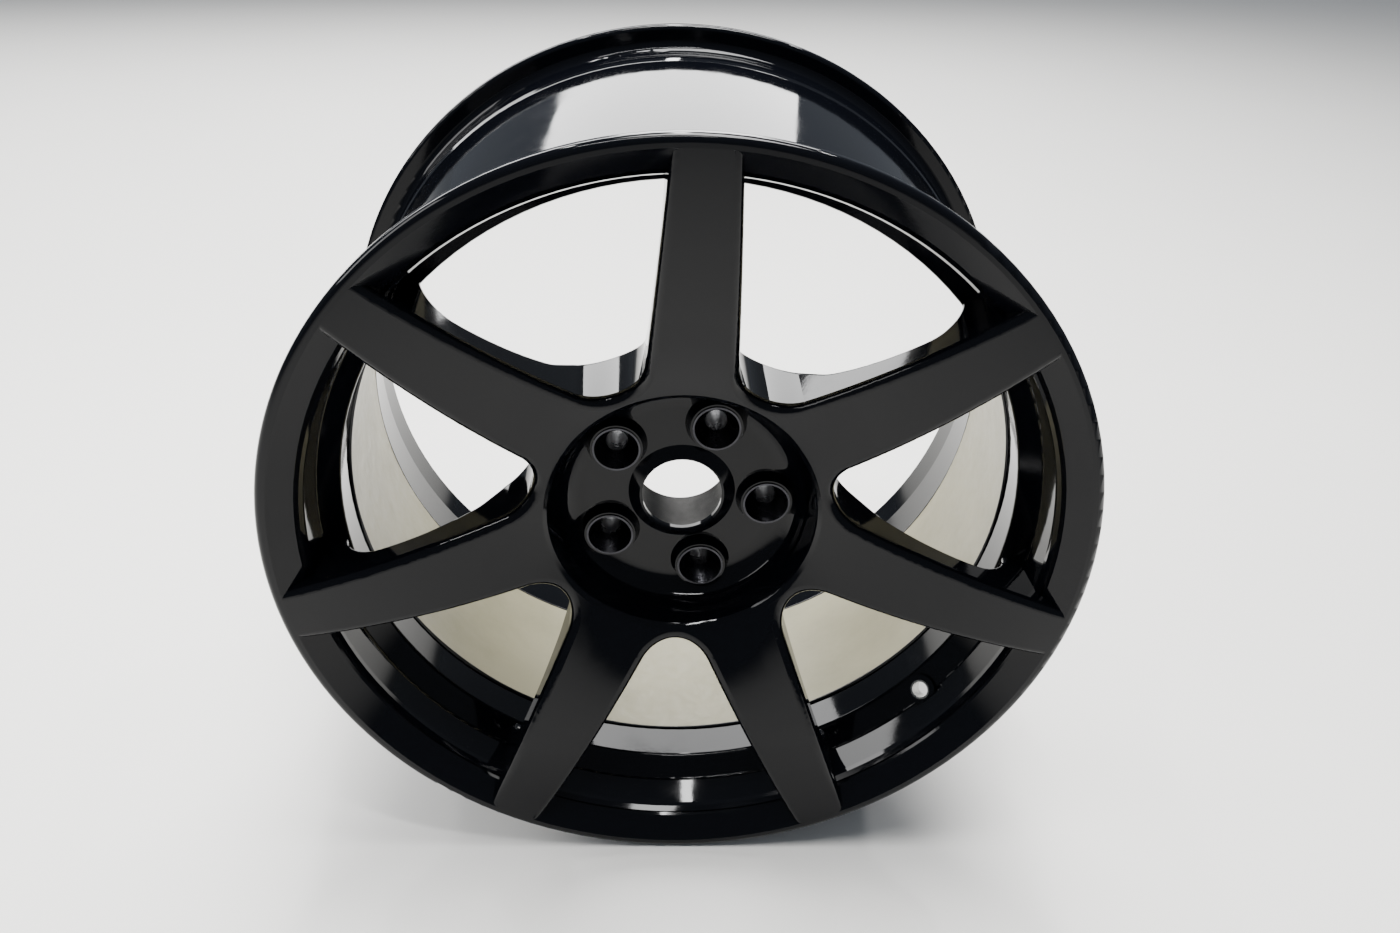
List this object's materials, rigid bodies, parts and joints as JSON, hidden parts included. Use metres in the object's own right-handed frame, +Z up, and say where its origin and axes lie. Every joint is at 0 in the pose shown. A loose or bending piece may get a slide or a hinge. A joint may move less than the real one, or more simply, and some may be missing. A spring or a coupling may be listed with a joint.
{
  "type": "wheel rim",
  "caption": "Road and track car wheel rim: wide barrel, slim straight spokes running out to the front lip, recessed hub with a stud circle, pale heat lining inside the barrel.",
  "frame": {"origin": "on the spin axis, half way between the two flange edges", "axes": "+Y along the spin axis towards the vehicle, so the outer face looks along -Y; +Z up and +X to the right of someone who looks at the outer face"},
  "size_m": [0.5224, 0.2994, 0.5224],
  "materials": {
    "gloss_black": "deep gloss black lacquer over moulded fibre composite",
    "heat_lining": "matte pale heat barrier",
    "bright_metal": "machined",
    "dark_metal": "dark anodised"
  },
  "bodies": {
    "root": {"rim_barrel": "gloss_black", "wheel_centre": "gloss_black", "barrel_lining": "heat_lining", "hub_bore_sleeve": "bright_metal", "valve_bush": "bright_metal", "lug_seat_1": "dark_metal", "lug_seat_2": "dark_metal", "lug_seat_3": "dark_metal", "lug_seat_4": "dark_metal", "lug_seat_5": "dark_metal", "lug_sleeve_1": "bright_metal", "lug_sleeve_2": "bright_metal", "lug_sleeve_3": "bright_metal", "lug_sleeve_4": "bright_metal", "lug_sleeve_5": "bright_metal"}
  },
  "joints": []
}
